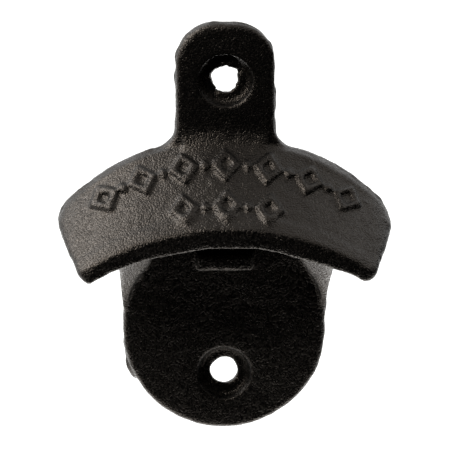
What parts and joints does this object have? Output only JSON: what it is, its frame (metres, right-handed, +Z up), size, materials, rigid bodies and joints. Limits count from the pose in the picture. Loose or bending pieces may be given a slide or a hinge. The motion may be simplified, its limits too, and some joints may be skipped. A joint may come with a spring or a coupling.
{
  "type": "wall-mounted bottle opener",
  "caption": "Cast iron bottle opener for a wall: a flat plate with an ear, an arched sloping hood, side cheeks and a tooth that catches the cap's rim.",
  "frame": {"origin": "on the wall plane, halfway between the two screw holes", "axes": "+Z up the wall, +Y into the wall, so the opener stands out towards -Y, and +X to the right for someone who faces it"},
  "size_m": [0.082, 0.0285, 0.102],
  "materials": {
    "black_cast_iron": "sand-cast iron with a thin satin black coat"
  },
  "bodies": {
    "root": {"opener_casting": "black_cast_iron"}
  },
  "joints": []
}
